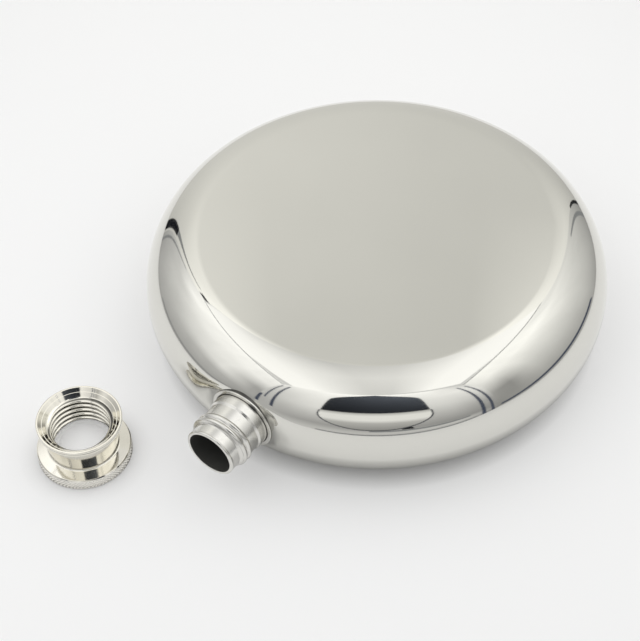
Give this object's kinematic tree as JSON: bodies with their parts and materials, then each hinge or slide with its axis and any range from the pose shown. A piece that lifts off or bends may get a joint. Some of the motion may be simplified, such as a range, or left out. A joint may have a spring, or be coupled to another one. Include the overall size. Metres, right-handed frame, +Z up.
{
  "type": "round hip flask",
  "caption": "Round hip flask with flat faces and soft rounded edges, a short threaded neck on its edge, and a knurled screw cap standing beside it, mouth up.",
  "frame": {"origin": "middle of the flat back face, on the surface that the flask lies on", "axes": "+Z up through the flat front face; the neck points along -Y; +X to the right of the neck seen from above"},
  "size_m": [0.095, 0.1199, 0.025],
  "materials": {
    "polished_steel": "mirror polished stainless steel sheet",
    "turned_steel": "turned stainless steel, bright with fine turning marks",
    "plated_cap": "bright plated metal, slightly warm, with a fine knurl on the grip",
    "sealing_disc": "pale grey soft plastic"
  },
  "bodies": {
    "flask": {"front_shell": "polished_steel", "back_shell": "polished_steel", "neck": "turned_steel", "neck_collar": "turned_steel"},
    "cap_seal": {"cap_liner": "sealing_disc"},
    "cap": {"cap_shell": "plated_cap"}
  },
  "joints": [
    {"name": "cap_lift", "type": "slide", "parent": "flask", "child": "cap_seal", "axis": [0, 0, 1], "range_m": [0, 0.06]},
    {"name": "cap_turn", "type": "hinge", "parent": "cap_seal", "child": "cap", "pos_m": [-0.0274, -0.063, 0], "axis": [0, 0, 1], "continuous": true}
  ]
}
